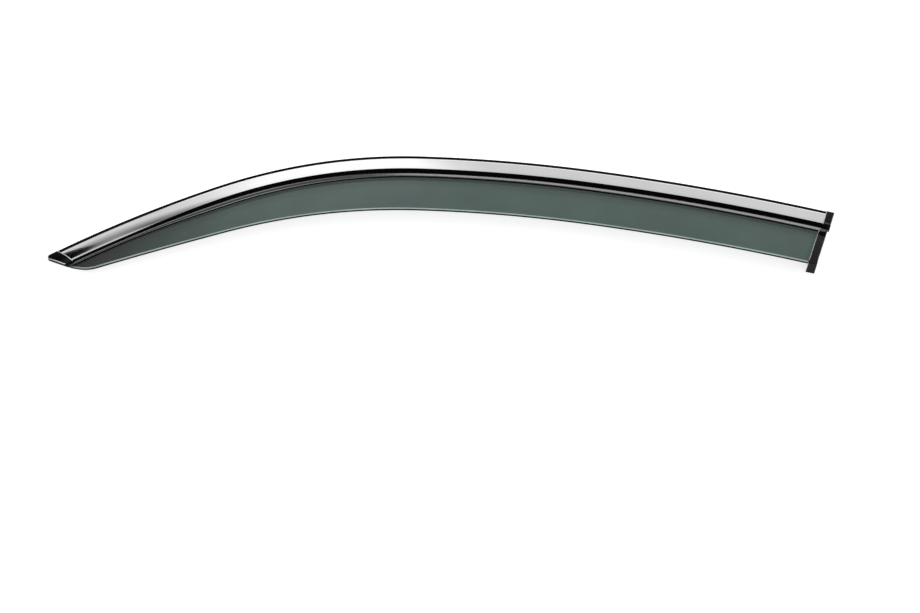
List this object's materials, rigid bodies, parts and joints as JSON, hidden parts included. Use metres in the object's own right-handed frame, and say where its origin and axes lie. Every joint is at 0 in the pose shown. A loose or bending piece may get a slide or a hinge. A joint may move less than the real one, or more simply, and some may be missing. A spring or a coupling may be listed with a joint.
{
  "type": "window rain deflector",
  "caption": "Long arched rain deflector for a car's front side window: smoked visor panel with a bright trim strip along its roof edge, black end caps and adhesive tape on its back.",
  "frame": {"origin": "centre of the footprint on the rest plane, which is the underside of the tape's film", "axes": "+X from the pointed nose to the rear end, +Y towards the roof edge, +Z away from the door"},
  "size_m": [0.977, 0.1662, 0.0316],
  "materials": {
    "smoked_acrylic": "gloss",
    "bright_trim": "polished",
    "black_plastic": "gloss",
    "foam_tape": "matte",
    "release_film": "satin"
  },
  "bodies": {
    "root": {"shield": "smoked_acrylic", "trim_strip": "bright_trim", "nose_cap": "black_plastic", "rear_cap": "black_plastic", "tape_front": "foam_tape", "tape_middle": "foam_tape", "tape_rear": "foam_tape", "liner_front": "release_film", "liner_middle": "release_film", "liner_rear": "release_film"}
  },
  "joints": []
}
